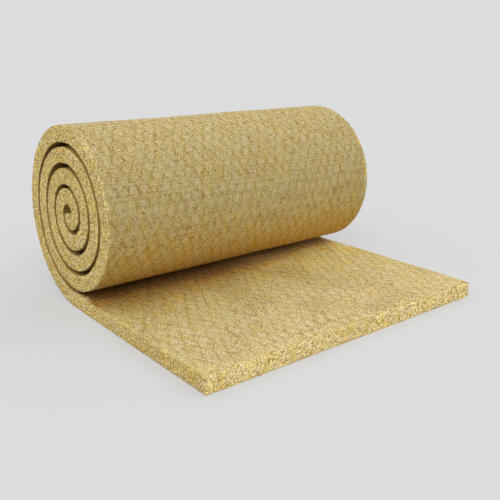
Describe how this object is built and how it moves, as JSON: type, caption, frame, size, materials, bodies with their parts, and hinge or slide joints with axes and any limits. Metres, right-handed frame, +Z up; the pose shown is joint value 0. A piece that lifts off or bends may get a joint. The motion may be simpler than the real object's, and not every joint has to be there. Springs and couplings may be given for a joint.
{
  "type": "insulation roll",
  "caption": "Roll of stone wool insulation: a thick soft mat wound in an open spiral around a small eye, with its outer end lying flat on the floor in front.",
  "frame": {"origin": "on the floor, in the middle of the part's outline seen from above", "axes": "+X along the axis of the roll, from one side edge of the mat to the other; -Y towards the flat outer end of the mat; +Z up"},
  "size_m": [1, 0.9264, 0.5329],
  "materials": {
    "stone_wool": "matt fibrous stone wool, mottled straw, ochre and olive, pillowed on its broad faces and rough where it is cut"
  },
  "bodies": {
    "root": {"wool_mat": "stone_wool"}
  },
  "joints": []
}
